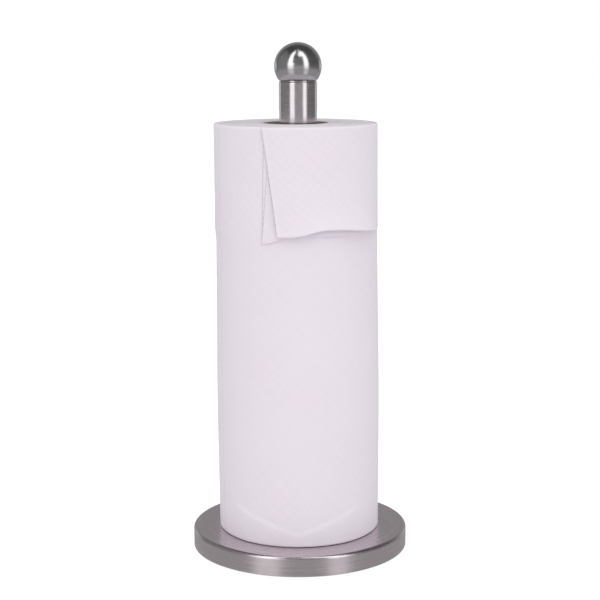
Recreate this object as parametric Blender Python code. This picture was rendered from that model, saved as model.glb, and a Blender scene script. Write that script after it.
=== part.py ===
"""Free-standing paper towel holder carrying a roll of towels.

Metres, +Z up. The origin is on the table under the centre of the round base. The roll's loose
core is wider than the post, so the roll stands a little off the post's axis.
"""

import math

import bmesh
import bpy
from mathutils import Vector

MM = 0.001
GAP = 0.3 * MM  # clearance between pieces that touch
CLOSE = 0.01 * MM  # vertices nearer than this are one

# base: a drawn steel cover over a cast weight, closed below by a moulded plate
BASE_RADIUS = 74.2 * MM
BASE_HEIGHT = 14.4 * MM
COVER_WALL = 0.8 * MM
COVER_EDGE_RADIUS = 1.2 * MM
COVER_BOTTOM = 0.6 * MM
LIP_WIDTH = 2.6 * MM
PLATE_BOTTOM = 1.0 * MM
PLATE_THICKNESS = 2.1 * MM
PLATE_HOLE_RADIUS = 10.5 * MM
PAD_INNER_RADIUS = 16.3 * MM
PAD_OUTER_RADIUS = 67.7 * MM
PAD_RECESS = 0.9 * MM
PAD_CHAMFER = 0.4 * MM
WEIGHT_CHAMFER = 1.2 * MM

# one M6 bolt from below draws the weight, the cover and the post together
THREAD_RADIUS = 3.0 * MM
CLEAR_HOLE_RADIUS = 3.6 * MM
TAPPED_RADIUS = THREAD_RADIUS + GAP
COUNTERBORE_RADIUS = 11.0 * MM
COUNTERBORE_TOP = 9.6 * MM
BOLT_HEAD_RADIUS = 5.25 * MM
BOLT_HEAD_HEIGHT = 3.3 * MM
BOLT_TIP = 32.2 * MM
SOCKET_FLATS = 4.0 * MM
SOCKET_DEPTH = 1.9 * MM
PLAIN_WASHER_RADIUS = 9.0 * MM
PLAIN_WASHER_THICKNESS = 1.2 * MM
LOCK_WASHER_RADIUS = 5.6 * MM
LOCK_WASHER_THICKNESS = 1.4 * MM
LOCK_WASHER_SPLIT_DEG = 14.0

# post: a one inch tube with a threaded plug in each end
POST_RADIUS = 12.7 * MM
POST_WALL = 1.0 * MM
POST_TOP = 320.9 * MM
GASKET_RADIUS = 12.4 * MM
GASKET_THICKNESS = 0.8 * MM
PLUG_LENGTH = 20.0 * MM
PLUG_CHAMFER = 0.8 * MM

# finial: a hollow ball, cut flat below, on a stud
BALL_RADIUS = 15.9 * MM
BALL_WALL = 0.9 * MM
BALL_FLAT_RADIUS = 13.1 * MM
NECK_WASHER_RADIUS = 12.5 * MM
NECK_WASHER_THICKNESS = 0.7 * MM
STUD_LENGTH = 28.0 * MM
STUD_ENGAGEMENT = 15.5 * MM
BOSS_RADIUS = 6.0 * MM
BOSS_HEIGHT = 15.0 * MM
BOSS_FLANGE_RADIUS = 9.5 * MM
BOSS_FLANGE_THICKNESS = 1.2 * MM

# roll: a standard eleven inch roll, its last sheet folded up to a quarter of its height
ROLL_X = -1.5 * MM
ROLL_HEIGHT = 279.0 * MM
CORE_INNER_RADIUS = 20.4 * MM
CORE_WALL = 1.5 * MM
PAPER_RADIUS = 54.6 * MM
PAPER_EDGE_RADIUS = 0.8 * MM
TAIL_START_DEG = -24.0  # from straight ahead, positive towards +X
TAIL_LEVEL_END_DEG = 90.0
TAIL_END_DEG = 206.0
TAIL_THICKNESS = 1.4 * MM
TAIL_ROOT_THICKNESS = 0.6 * MM
TAIL_FLARE = 2.6 * MM
TAIL_FLARE_HEIGHT = 16.0 * MM
TAIL_STEPS = 46

LARGE_ROUND = 72  # sides of the base's and the roll's pieces
SMALL_ROUND = 40  # sides of the post's and the finial's pieces
TINY_ROUND = 24  # sides of the fasteners

STEEL = ("brushed_steel", (0.62, 0.61, 0.60), 0.30, 1.0)
ZINC = ("zinc_plated_steel", (0.55, 0.56, 0.58), 0.38, 1.0)
IRON = ("cast_iron", (0.11, 0.11, 0.12), 0.65, 0.7)
BLACK_PLASTIC = ("black_plastic", (0.025, 0.025, 0.027), 0.55, 0.0)
RUBBER = ("grey_rubber", (0.06, 0.06, 0.062), 0.85, 0.0)
BOARD = ("core_board", (0.46, 0.36, 0.26), 0.90, 0.0)
PAPER = ("towel_paper", (0.86, 0.86, 0.88), 0.90, 0.0)

cover_top_inside = BASE_HEIGHT - COVER_WALL
weight_bottom = PLATE_BOTTOM + PLATE_THICKNESS + GAP
post_bottom = BASE_HEIGHT + GAP + GASKET_THICKNESS + GAP
ball_bottom = POST_TOP + GAP + NECK_WASHER_THICKNESS + GAP
ball_centre = ball_bottom + math.sqrt(BALL_RADIUS**2 - BALL_FLAT_RADIUS**2)
roll_bottom = BASE_HEIGHT + GAP
roll_top = roll_bottom + ROLL_HEIGHT


def clear_scene():
    for obj in list(bpy.data.objects):
        bpy.data.objects.remove(obj, do_unlink=True)


def material(spec):
    name, colour, roughness, metallic = spec
    existing = bpy.data.materials.get(name)
    if existing:
        return existing
    mat = bpy.data.materials.new(name)
    mat.use_nodes = True
    shader = mat.node_tree.nodes["Principled BSDF"]
    shader.inputs["Base Color"].default_value = (*colour, 1.0)
    shader.inputs["Roughness"].default_value = roughness
    shader.inputs["Metallic"].default_value = metallic
    return mat


def arc(centre_r, centre_z, radius, start_deg, end_deg, steps):
    """Points (r, z) on a circle, from start to end; 0 degrees is outwards and 90 is up."""
    points = []
    for i in range(steps + 1):
        a = math.radians(start_deg + (end_deg - start_deg) * i / steps)
        points.append((centre_r + radius * math.cos(a), centre_z + radius * math.sin(a)))
    return points


def ring_section(inner, outer, bottom, top, chamfer=0.0):
    """The cross-section of a plain ring, with chamfered outer edges if asked for."""
    if not chamfer:
        return [(inner, bottom), (outer, bottom), (outer, top), (inner, top)]
    return [
        (inner, bottom),
        (outer - chamfer, bottom),
        (outer, bottom + chamfer),
        (outer, top - chamfer),
        (outer - chamfer, top),
        (inner, top),
    ]


def finish(name, bm, spec, parent, smooth_deg=35.0):
    """Make a closed mesh with outward faces from bm and place it at its parent."""
    bmesh.ops.remove_doubles(bm, verts=bm.verts, dist=CLOSE)
    bmesh.ops.recalc_face_normals(bm, faces=bm.faces)
    mesh = bpy.data.meshes.new(name)
    bm.to_mesh(mesh)
    bm.free()
    mesh.shade_smooth()
    mesh.set_sharp_from_angle(angle=math.radians(smooth_deg))
    obj = bpy.data.objects.new(name, mesh)
    bpy.context.collection.objects.link(obj)
    obj.data.materials.append(material(spec))
    obj.parent = parent
    return obj


def turned(name, profile, spec, parent, sides):
    """Turn a profile of (r, z) points about Z. A profile that meets the axis stays open there."""
    bm = bmesh.new()
    verts = [bm.verts.new((r, 0.0, z)) for r, z in profile]
    pairs = list(zip(verts, verts[1:]))
    if min(r for r, z in profile) > CLOSE:
        pairs.append((verts[-1], verts[0]))
    edges = [bm.edges.new(pair) for pair in pairs]
    bmesh.ops.spin(
        bm,
        geom=verts + edges,
        cent=(0.0, 0.0, 0.0),
        axis=(0.0, 0.0, 1.0),
        angle=math.tau,
        steps=sides,
        use_merge=True,
    )
    return finish(name, bm, spec, parent)


def lofted(name, sections, spec, parent):
    """Join a row of cross-sections, each a loop of points, and cap both ends."""
    bm = bmesh.new()
    rings = [[bm.verts.new(point) for point in section] for section in sections]
    count = len(rings[0])
    for near, far in zip(rings, rings[1:]):
        for i in range(count):
            j = (i + 1) % count
            bm.faces.new((near[i], near[j], far[j], far[i]))
    bm.faces.new(list(reversed(rings[0])))
    bm.faces.new(rings[-1])
    return finish(name, bm, spec, parent)


def axis_empty(name, x, parent=None):
    empty = bpy.data.objects.new(name, None)
    empty.empty_display_size = 0.03
    empty.location = (x, 0.0, 0.0)
    bpy.context.collection.objects.link(empty)
    empty.parent = parent
    return empty


def make_cover(stand):
    """Drawn cover: flat top, small rolled edge, straight wall and a lip turned in below."""
    wall = BASE_RADIUS - COVER_WALL
    inner_edge = COVER_EDGE_RADIUS - COVER_WALL / 2
    profile = [(CLEAR_HOLE_RADIUS, BASE_HEIGHT)]
    profile += arc(
        BASE_RADIUS - COVER_EDGE_RADIUS, BASE_HEIGHT - COVER_EDGE_RADIUS, COVER_EDGE_RADIUS, 90, 0, 5
    )
    profile += arc(
        BASE_RADIUS - COVER_WALL, COVER_BOTTOM + COVER_WALL, COVER_WALL, 0, -90, 3
    )
    profile += [
        (BASE_RADIUS - LIP_WIDTH, COVER_BOTTOM),
        (BASE_RADIUS - LIP_WIDTH, COVER_BOTTOM + COVER_WALL),
        (wall, COVER_BOTTOM + COVER_WALL),
    ]
    profile += arc(wall - inner_edge, cover_top_inside - inner_edge, inner_edge, 0, 90, 3)
    profile += [(CLEAR_HOLE_RADIUS, cover_top_inside)]
    turned("base_cover", profile, STEEL, stand, LARGE_ROUND)


def make_weight(stand):
    """Cast disc with a central bore and a counterbore below for the bolt."""
    outer = BASE_RADIUS - COVER_WALL - 0.4 * MM
    top = cover_top_inside - GAP
    profile = [
        (CLEAR_HOLE_RADIUS, top),
        (outer - WEIGHT_CHAMFER, top),
        (outer, top - WEIGHT_CHAMFER),
        (outer, weight_bottom + WEIGHT_CHAMFER),
        (outer - WEIGHT_CHAMFER, weight_bottom),
        (COUNTERBORE_RADIUS, weight_bottom),
        (COUNTERBORE_RADIUS, COUNTERBORE_TOP),
        (CLEAR_HOLE_RADIUS, COUNTERBORE_TOP),
    ]
    turned("base_weight", profile, IRON, stand, LARGE_ROUND)


def make_bottom(stand):
    """Moulded plate stepped to sit above the cover's lip, with a recess for the grip pad."""
    lip_inside = BASE_RADIUS - LIP_WIDTH - 0.4 * MM
    step = COVER_BOTTOM + COVER_WALL + GAP
    top = PLATE_BOTTOM + PLATE_THICKNESS
    recess = PLATE_BOTTOM + PAD_RECESS
    profile = [
        (PLATE_HOLE_RADIUS, PLATE_BOTTOM),
        (PAD_INNER_RADIUS - GAP, PLATE_BOTTOM),
        (PAD_INNER_RADIUS - GAP, recess),
        (PAD_OUTER_RADIUS + GAP, recess),
        (PAD_OUTER_RADIUS + GAP, PLATE_BOTTOM),
        (lip_inside, PLATE_BOTTOM),
        (lip_inside, step),
        (BASE_RADIUS - COVER_WALL - 0.4 * MM, step),
        (BASE_RADIUS - COVER_WALL - 0.4 * MM, top),
        (PLATE_HOLE_RADIUS, top),
    ]
    turned("base_plate", profile, BLACK_PLASTIC, stand, LARGE_ROUND)
    pad = ring_section(PAD_INNER_RADIUS, PAD_OUTER_RADIUS, 0.0, recess - GAP, PAD_CHAMFER)
    turned("grip_pad", pad, RUBBER, stand, LARGE_ROUND)


def make_bolt(stand, head_bottom):
    """Low-head bolt with a hexagon socket cut by a Boolean."""
    head_top = head_bottom + BOLT_HEAD_HEIGHT
    edge = 0.6 * MM
    profile = [
        (0.0, head_bottom),
        (BOLT_HEAD_RADIUS - edge, head_bottom),
        (BOLT_HEAD_RADIUS, head_bottom + edge),
        (BOLT_HEAD_RADIUS, head_top),
        (THREAD_RADIUS, head_top),
        (THREAD_RADIUS, BOLT_TIP - edge),
        (THREAD_RADIUS - edge, BOLT_TIP),
        (0.0, BOLT_TIP),
    ]
    bolt = turned("base_bolt", profile, ZINC, stand, TINY_ROUND)

    bm = bmesh.new()
    bmesh.ops.create_cone(
        bm,
        cap_ends=True,
        segments=6,
        radius1=SOCKET_FLATS / math.sqrt(3),
        radius2=SOCKET_FLATS / math.sqrt(3),
        depth=2 * SOCKET_DEPTH,
    )
    bmesh.ops.translate(bm, verts=bm.verts, vec=Vector((0.0, 0.0, head_bottom)))
    cutter = finish("socket_cutter", bm, ZINC, stand)
    cutter.hide_render = True
    cutter.display_type = "WIRE"
    cut = bolt.modifiers.new("socket", "BOOLEAN")
    cut.operation = "DIFFERENCE"
    cut.solver = "EXACT"
    cut.object = cutter


def make_lock_washer(stand, bottom):
    """Split spring washer: a ring with a narrow slot."""
    top = bottom + LOCK_WASHER_THICKNESS
    outline = ring_section(TAPPED_RADIUS, LOCK_WASHER_RADIUS, bottom, top)
    sections = []
    for i in range(TINY_ROUND + 1):
        a = math.radians((360.0 - LOCK_WASHER_SPLIT_DEG) * i / TINY_ROUND)
        sections.append([(r * math.cos(a), r * math.sin(a), z) for r, z in outline])
    lofted("lock_washer", sections, ZINC, stand)


def make_fasteners(stand):
    """The stack in the weight's counterbore, from the top down."""
    plain_top = COUNTERBORE_TOP - GAP
    plain_bottom = plain_top - PLAIN_WASHER_THICKNESS
    plain = ring_section(TAPPED_RADIUS, PLAIN_WASHER_RADIUS, plain_bottom, plain_top)
    turned("plain_washer", plain, ZINC, stand, SMALL_ROUND)
    lock_bottom = plain_bottom - GAP - LOCK_WASHER_THICKNESS
    make_lock_washer(stand, lock_bottom)
    make_bolt(stand, lock_bottom - GAP - BOLT_HEAD_HEIGHT)


def make_post(stand):
    """Gasket, tube and the two threaded plugs pressed into the tube's ends."""
    gasket_bottom = BASE_HEIGHT + GAP
    gasket = ring_section(
        CLEAR_HOLE_RADIUS, GASKET_RADIUS, gasket_bottom, gasket_bottom + GASKET_THICKNESS
    )
    turned("post_gasket", gasket, RUBBER, stand, SMALL_ROUND)
    inside = POST_RADIUS - POST_WALL
    tube = ring_section(inside, POST_RADIUS, post_bottom, POST_TOP)
    turned("post_tube", tube, STEEL, stand, SMALL_ROUND)
    plug_radius = inside - GAP
    plugs = (("lower_plug", post_bottom), ("upper_plug", POST_TOP - GAP - PLUG_LENGTH))
    for name, bottom in plugs:
        plug = ring_section(
            TAPPED_RADIUS, plug_radius, bottom, bottom + PLUG_LENGTH, PLUG_CHAMFER
        )
        turned(name, plug, ZINC, stand, SMALL_ROUND)


def make_ball(stand):
    """Hollow ball with a flat floor, round a hole for the boss."""
    inner_radius = BALL_RADIUS - BALL_WALL
    floor_top = ball_bottom + BALL_WALL
    hole = BOSS_RADIUS + GAP
    cut_deg = math.degrees(math.asin((ball_bottom - ball_centre) / BALL_RADIUS))
    floor_deg = math.degrees(math.asin((floor_top - ball_centre) / inner_radius))
    profile = arc(0.0, ball_centre, BALL_RADIUS, 90, cut_deg, 16)
    profile[0] = (0.0, ball_centre + BALL_RADIUS)
    profile += [(hole, ball_bottom), (hole, floor_top)]
    profile += arc(0.0, ball_centre, inner_radius, floor_deg, 90, 14)
    profile[-1] = (0.0, ball_centre + inner_radius)
    turned("ball_shell", profile, STEEL, stand, SMALL_ROUND)


def make_finial(stand):
    """Ball, its threaded boss, the stud into the post and the thin ring between them."""
    neck = ring_section(
        TAPPED_RADIUS, NECK_WASHER_RADIUS, POST_TOP + GAP, POST_TOP + GAP + NECK_WASHER_THICKNESS
    )
    turned("neck_washer", neck, STEEL, stand, SMALL_ROUND)
    make_ball(stand)

    flange_bottom = ball_bottom + BALL_WALL + GAP
    flange_top = flange_bottom + BOSS_FLANGE_THICKNESS
    bore_top = ball_bottom + BOSS_HEIGHT - 2.0 * MM
    boss = [
        (0.0, bore_top),
        (TAPPED_RADIUS, bore_top),
        (TAPPED_RADIUS, ball_bottom),
        (BOSS_RADIUS, ball_bottom),
        (BOSS_RADIUS, flange_bottom),
        (BOSS_FLANGE_RADIUS, flange_bottom),
        (BOSS_FLANGE_RADIUS, flange_top),
        (BOSS_RADIUS, flange_top),
        (BOSS_RADIUS, ball_bottom + BOSS_HEIGHT),
        (0.0, ball_bottom + BOSS_HEIGHT),
    ]
    turned("ball_boss", boss, ZINC, stand, TINY_ROUND)

    stud_bottom = POST_TOP - STUD_ENGAGEMENT
    stud_top = stud_bottom + STUD_LENGTH
    tip = 0.5 * MM
    stud = [
        (0.0, stud_bottom),
        (THREAD_RADIUS - tip, stud_bottom),
        (THREAD_RADIUS, stud_bottom + tip),
        (THREAD_RADIUS, stud_top - tip),
        (THREAD_RADIUS - tip, stud_top),
        (0.0, stud_top),
    ]
    turned("finial_stud", stud, ZINC, stand, TINY_ROUND)


def make_core(lift_axis):
    core = ring_section(
        CORE_INNER_RADIUS, CORE_INNER_RADIUS + CORE_WALL, roll_bottom, roll_top
    )
    turned("core_tube", core, BOARD, lift_axis, LARGE_ROUND)


def make_paper(spin_axis):
    """The wound paper, with softly rounded outer edges."""
    inner = CORE_INNER_RADIUS + CORE_WALL + GAP
    edge = PAPER_EDGE_RADIUS
    profile = [(inner, roll_bottom)]
    profile += arc(PAPER_RADIUS - edge, roll_bottom + edge, edge, -90, 0, 2)
    profile += arc(PAPER_RADIUS - edge, roll_top - edge, edge, 0, 90, 2)
    profile += [(inner, roll_top)]
    turned("paper_roll", profile, PAPER, spin_axis, LARGE_ROUND)


def tail_bottom(angle_deg):
    """Height of the tail's lower edge: level round the front, then sloping down behind."""
    level = roll_top - ROLL_HEIGHT / 4
    t = (angle_deg - TAIL_LEVEL_END_DEG) / (TAIL_END_DEG - TAIL_LEVEL_END_DEG)
    t = min(max(t, 0.0), 1.0)
    return level - (level - roll_bottom) * t * t * (3 - 2 * t)


def make_tail(spin_axis):
    """The loose last sheet, lying on the roll and flaring out along its folded lower edge."""
    inner = PAPER_RADIUS + GAP
    sections = []
    for i in range(TAIL_STEPS + 1):
        share = i / TAIL_STEPS
        angle_deg = TAIL_START_DEG + (TAIL_END_DEG - TAIL_START_DEG) * share
        a = math.radians(angle_deg)
        root = min(max((angle_deg - TAIL_LEVEL_END_DEG) / 100.0, 0.0), 1.0)
        thickness = TAIL_THICKNESS + (TAIL_ROOT_THICKNESS - TAIL_THICKNESS) * root
        flare = TAIL_FLARE * (1 - root)
        bottom = tail_bottom(angle_deg)
        outline = [
            (inner, roll_top),
            (inner, bottom),
            (inner + thickness + flare, bottom),
            (inner + thickness, bottom + TAIL_FLARE_HEIGHT),
            (inner + thickness, roll_top),
        ]
        sections.append([(r * math.sin(a), -r * math.cos(a), z) for r, z in outline])
    lofted("towel_tail", sections, PAPER, spin_axis)


def main():
    clear_scene()
    stand = axis_empty("stand_frame", 0.0)
    lift_axis = axis_empty("roll_lift_axis", ROLL_X)
    spin_axis = axis_empty("roll_spin_axis", 0.0, lift_axis)
    make_cover(stand)
    make_weight(stand)
    make_bottom(stand)
    make_fasteners(stand)
    make_post(stand)
    make_finial(stand)
    make_core(lift_axis)
    make_paper(spin_axis)
    make_tail(spin_axis)


main()
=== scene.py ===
import math

import bmesh
import bpy
import numpy as np
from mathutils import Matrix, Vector, noise


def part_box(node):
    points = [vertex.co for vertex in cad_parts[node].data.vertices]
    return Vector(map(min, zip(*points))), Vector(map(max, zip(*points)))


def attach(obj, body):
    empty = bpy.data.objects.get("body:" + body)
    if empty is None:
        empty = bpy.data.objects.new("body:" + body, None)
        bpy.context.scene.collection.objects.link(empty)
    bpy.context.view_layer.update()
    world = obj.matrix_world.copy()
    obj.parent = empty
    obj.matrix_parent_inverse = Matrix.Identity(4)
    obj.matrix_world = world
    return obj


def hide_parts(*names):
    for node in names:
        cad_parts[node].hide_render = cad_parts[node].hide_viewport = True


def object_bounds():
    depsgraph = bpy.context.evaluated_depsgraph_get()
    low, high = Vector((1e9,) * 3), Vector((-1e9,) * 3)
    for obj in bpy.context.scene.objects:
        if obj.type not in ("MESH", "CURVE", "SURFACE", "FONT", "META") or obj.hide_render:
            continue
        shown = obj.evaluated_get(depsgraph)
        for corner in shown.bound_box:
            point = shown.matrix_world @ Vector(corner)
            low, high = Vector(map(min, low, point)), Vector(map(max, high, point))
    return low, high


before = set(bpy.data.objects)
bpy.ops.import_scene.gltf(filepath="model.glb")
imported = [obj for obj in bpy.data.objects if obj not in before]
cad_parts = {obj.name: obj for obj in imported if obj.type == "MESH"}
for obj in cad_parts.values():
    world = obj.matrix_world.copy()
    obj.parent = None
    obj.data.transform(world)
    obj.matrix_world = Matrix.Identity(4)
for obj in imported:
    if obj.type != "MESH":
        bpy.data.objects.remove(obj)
cadLow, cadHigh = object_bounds()
mm = 0.001
scene = bpy.context.scene
print("frame loaded:", len(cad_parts), "nodes")


def span(node):
    # radius, lowest z, highest z and centre x of a round node
    low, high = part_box(node)
    return (high.x - low.x) / 2, low.z, high.z, (high.x + low.x) / 2


def smooth(low, high, x):
    t = min(max((x - low) / (high - low), 0.0), 1.0)
    return t * t * (3 - 2 * t)


def mix(a, b, t):
    return a + (b - a) * t


# rows are rings of points; wrap joins a row's two ends, loop joins the first and last rows,
# and caps closes the first and last rows with a face each
def gridMesh(name, rows, wrap=True, loop=False, uv=None, caps=False):
    rowCount, colCount = len(rows), len(rows[0])
    faces, faceUvs = [], []
    for i in range(rowCount if loop else rowCount - 1):
        for j in range(colCount if wrap else colCount - 1):
            corners = ((i, j), (i, j + 1), (i + 1, j + 1), (i + 1, j))
            faces.append([(a % rowCount) * colCount + b % colCount for a, b in corners])
            if uv:
                faceUvs += [uv(a, b) for a, b in corners]
    if caps:
        for i in (0, rowCount - 1):
            faces.append([i * colCount + j for j in range(colCount)])
            if uv:
                faceUvs += [uv(i, j) for j in range(colCount)]
    mesh = bpy.data.meshes.new(name)
    mesh.from_pydata([point for row in rows for point in row], [], faces)
    if uv:
        layer = mesh.uv_layers.new(name="surface")
        layer.data.foreach_set("uv", np.array(faceUvs, np.float32).ravel())
    return mesh


def placeMesh(name, mesh, material, sharpDeg=40):
    bm = bmesh.new()
    bm.from_mesh(mesh)
    bmesh.ops.remove_doubles(bm, verts=bm.verts, dist=1e-7)
    bmesh.ops.recalc_face_normals(bm, faces=bm.faces)
    bm.to_mesh(mesh)
    bm.free()
    mesh.shade_smooth()
    mesh.set_sharp_from_angle(angle=math.radians(sharpDeg))
    mesh.materials.clear()
    mesh.materials.append(material)
    obj = bpy.data.objects.new(name, mesh)
    scene.collection.objects.link(obj)
    return obj


def flatten(obj):
    # the object's modifiers are made its plain mesh
    bpy.context.view_layer.update()
    evaluated = obj.evaluated_get(bpy.context.evaluated_depsgraph_get())
    mesh = bpy.data.meshes.new_from_object(evaluated)
    obj.modifiers.clear()
    obj.data = mesh
    return obj


def give(obj, body, slot, *nodes):
    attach(obj, body)
    if nodes:
        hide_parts(*nodes)


# each corner is (r, z, radius): it becomes an arc with a supporting point on either side
def rounded(corners, closed=True):
    points, count = [], len(corners)
    for i, (r, z, radius) in enumerate(corners):
        here = Vector((r, z))
        if radius <= 0 or (not closed and i in (0, count - 1)):
            points.append((r, z))
            continue
        before = Vector(corners[i - 1][:2]) - here
        after = Vector(corners[(i + 1) % count][:2]) - here
        rooms = before.length / 2, after.length / 2
        before.normalize()
        after.normalize()
        half = before.angle(after) / 2
        reach = min(radius / math.tan(half), *rooms)
        radius = reach * math.tan(half)
        middle = (before + after).normalized() * (radius / math.sin(half))
        start, stop = before * reach - middle, after * reach - middle
        first = math.atan2(start.y, start.x)
        turn = math.atan2(stop.y, stop.x) - first
        turn = (turn + math.pi) % math.tau - math.pi
        steps = max(3, round(abs(turn) / math.radians(14)))
        middleR, middleZ = here.x + middle.x, here.y + middle.y
        if reach * 1.3 < rooms[0]:
            points.append(tuple(here + before * reach * 1.3))
        for k in range(steps + 1):
            a = first + turn * k / steps
            points.append((middleR + radius * math.cos(a), middleZ + radius * math.sin(a)))
        if reach * 1.3 < rooms[1]:
            points.append(tuple(here + after * reach * 1.3))
    return points


def ringCorners(inner, outer, low, high, edge):
    return [(inner, low, edge), (outer, low, edge), (outer, high, edge), (inner, high, edge)]


# angles are from straight ahead (-Y), positive towards +X
def around(centreX, radius, deg, z):
    a = math.radians(deg)
    return (centreX + radius * math.sin(a), -radius * math.cos(a), z)


def turned(name, profile, material, sides, closed=True):
    rows = [[around(0.0, r, 360 * j / sides, z) for j in range(sides)] for r, z in profile]
    lengths = [0.0]
    for (r0, z0), (r1, z1) in zip(profile, profile[1:] + profile[:1]):
        lengths.append(lengths[-1] + math.hypot(r1 - r0, z1 - z0))
    widest = max(r for r, z in profile)
    uv = lambda i, j: (math.tau * widest * j / sides, lengths[i])
    return placeMesh(name, gridMesh(name, rows, loop=closed, uv=uv), material)


def markPoints(mesh, label, values):
    attribute = mesh.attributes.new(label, "FLOAT", "POINT")
    attribute.data.foreach_set("value", np.array(values, np.float32))


def feed(tree, value, socket):
    if isinstance(value, bpy.types.NodeSocket):
        tree.links.new(value, socket)
    else:
        socket.default_value = value


# sets or links a node's sockets by name, an underscore standing for a space
def plug(tree, node, **sockets):
    for label, value in sockets.items():
        feed(tree, value, node.inputs[label.replace("_", " ")])
    return node


def addNode(tree, kind, **sockets):
    return plug(tree, tree.nodes.new(kind), **sockets)


def calc(tree, operation, *values):
    node = tree.nodes.new("ShaderNodeMath")
    node.operation = operation
    for socket, value in zip(node.inputs, values):
        feed(tree, value, socket)
    return node.outputs[0]


def times(tree, a, b):
    return calc(tree, "MULTIPLY", a, b)


def remap(tree, value, fromLow, fromHigh, toLow=0.0, toHigh=1.0):
    node = tree.nodes.new("ShaderNodeMapRange")
    node.interpolation_type = "SMOOTHSTEP"
    for socket, given in zip(node.inputs, (value, fromLow, fromHigh, toLow, toHigh)):
        feed(tree, given, socket)
    return node.outputs[0]


def blendColours(tree, share, first, second):
    node = tree.nodes.new("ShaderNodeMix")
    node.data_type = "RGBA"
    feed(tree, share, node.inputs[0])
    for socket, colour in ((node.inputs[6], first), (node.inputs[7], second)):
        feed(tree, (*colour, 1) if isinstance(colour, tuple) else colour, socket)
    return node.outputs[2]


def noiseOf(tree, vector, scale, detail=2.0, rough=0.5, warp=0.0):
    named = {"Vector": vector, "Scale": scale, "Detail": detail, "Roughness": rough, "Distortion": warp}
    return addNode(tree, "ShaderNodeTexNoise", **named).outputs["Fac"]


def splitXyz(tree, vector):
    return tuple(addNode(tree, "ShaderNodeSeparateXYZ", Vector=vector).outputs)


def joinXyz(tree, x=0.0, y=0.0, z=0.0):
    return addNode(tree, "ShaderNodeCombineXYZ", X=x, Y=y, Z=z).outputs[0]


def objectPlace(tree):
    return tree.nodes.new("ShaderNodeTexCoord").outputs["Object"]


def attributeOf(tree, label):
    node = tree.nodes.new("ShaderNodeAttribute")
    node.attribute_name = label
    return node.outputs["Fac"]


# a socket of a group, its kind taken from its value
def addSocket(tree, way, label, value=0.0):
    kind = {float: "Float", int: "Int", tuple: "Vector", type(None): "Material"}[type(value)]
    socket = tree.interface.new_socket(name=label, in_out=way, socket_type="NodeSocket" + kind)
    if value is not None:
        socket.default_value = value
    return socket.identifier


def newGroup(name, inputs, outputs):
    tree = bpy.data.node_groups.new(name, "ShaderNodeTree")
    for label, value in inputs.items():
        addSocket(tree, "INPUT", label, value)
    for label in outputs:
        addSocket(tree, "OUTPUT", label)
    return tree, tree.nodes.new("NodeGroupInput").outputs, tree.nodes.new("NodeGroupOutput").inputs


def useGroup(tree, group, **values):
    node = tree.nodes.new("ShaderNodeGroup")
    node.node_tree = group
    return plug(tree, node, **values)


# fine lines left by turning or polishing, running round a vertical axis
def makeTurnedGrain():
    inputs = {"Lines": 900.0, "Drift": 2.0}
    tree, given, made = newGroup("turnedGrain", inputs, ("Lines", "Patches"))
    place = objectPlace(tree)
    x, y, z = splitXyz(tree, place)
    radius = calc(tree, "SQRT", calc(tree, "MULTIPLY_ADD", y, y, times(tree, x, x)))
    safe = calc(tree, "MAXIMUM", radius, 0.0001)
    run = times(tree, calc(tree, "ADD", radius, z), given["Lines"])
    wander = [times(tree, calc(tree, "DIVIDE", w, safe), given["Drift"]) for w in (x, y)]
    tree.links.new(noiseOf(tree, joinXyz(tree, run, *wander), 1.0, 3.0, 0.65), made["Lines"])
    tree.links.new(noiseOf(tree, place, 38.0, 3.0, 0.6, 0.4), made["Patches"])
    return tree


# finger smears and dull patches on handled metal and plastic
def makeHandling():
    tree, given, made = newGroup("handling", {"Size": 30.0, "Amount": 0.5}, ("Smear",))
    place = objectPlace(tree)
    broad = noiseOf(tree, place, given["Size"], 2.0, 0.5, 1.2)
    fine = noiseOf(tree, place, times(tree, given["Size"], 9.0), 3.0, 0.6)
    mask = times(tree, remap(tree, broad, 0.5, 0.72), remap(tree, fine, 0.35, 0.65, 0.55, 1.0))
    tree.links.new(times(tree, mask, given["Amount"]), made["Smear"])
    return tree


# short pressed fibres, with flecks, for paper and board
def makeFibres():
    inputs = {"Size": 1500.0, "Stretch": 4.0}
    tree, given, made = newGroup("fibres", inputs, ("Fibre", "Fleck", "Cloud"))
    place = objectPlace(tree)
    x, y, z = splitXyz(tree, place)
    size, stretch = given["Size"], given["Stretch"]
    drawn = joinXyz(tree, times(tree, x, stretch), times(tree, y, stretch), z)
    tree.links.new(noiseOf(tree, drawn, size, 3.0, 0.6, 1.5), made["Fibre"])
    fleck = noiseOf(tree, place, times(tree, size, 0.6), 1.0, 0.5)
    tree.links.new(remap(tree, fleck, 0.68, 0.76), made["Fleck"])
    tree.links.new(noiseOf(tree, place, 22.0, 2.0, 0.5), made["Cloud"])
    return tree


def startTree(name, inputs):
    tree = bpy.data.node_groups.new(name, "GeometryNodeTree")
    for way in ("INPUT", "OUTPUT"):
        tree.interface.new_socket(name="Geometry", in_out=way, socket_type="NodeSocketGeometry")
    keys = {label: addSocket(tree, "INPUT", label, value) for label, value in inputs.items()}
    given, made = tree.nodes.new("NodeGroupInput"), tree.nodes.new("NodeGroupOutput")
    return tree, given.outputs, made.inputs, keys


def endTree(tree, given, made, geometry):
    real = addNode(tree, "GeometryNodeRealizeInstances", Geometry=geometry).outputs[0]
    paint = addNode(tree, "GeometryNodeSetMaterial", Geometry=real, Material=given["Material"])
    tree.links.new(paint.outputs[0], made[0])


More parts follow.
